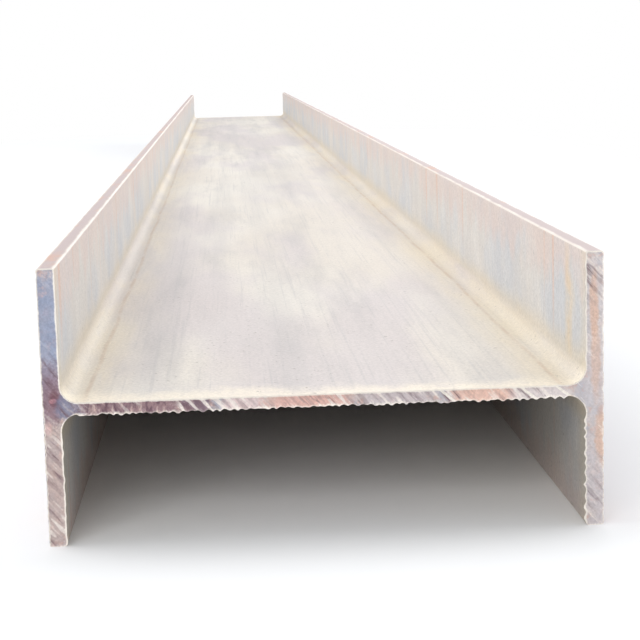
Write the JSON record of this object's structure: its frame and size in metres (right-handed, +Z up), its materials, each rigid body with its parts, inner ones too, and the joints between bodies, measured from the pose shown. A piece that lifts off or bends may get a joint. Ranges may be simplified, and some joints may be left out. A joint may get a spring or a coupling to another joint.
{
  "type": "steel h-beam",
  "caption": "Hot-rolled steel H-section, a length of raw stock with a thin web between two parallel flanges, rounded roots and square-cut ends, lying on its flange toes.",
  "frame": {"origin": "centre of the bounding box's bottom face: on the floor, midway between the flanges and midway between the two cut ends", "axes": "+Y along the stock, away from the end that the picture shows; +X across the section, from one flange to the other; +Z up, along the flanges' width, with the web level"},
  "size_m": [0.4, 6, 0.2],
  "materials": {
    "mill_steel": "bare hot-rolled mill scale, dusty light grey, with thin pink-brown and orange rust"
  },
  "bodies": {
    "root": {"h_beam": "mill_steel"}
  },
  "joints": []
}
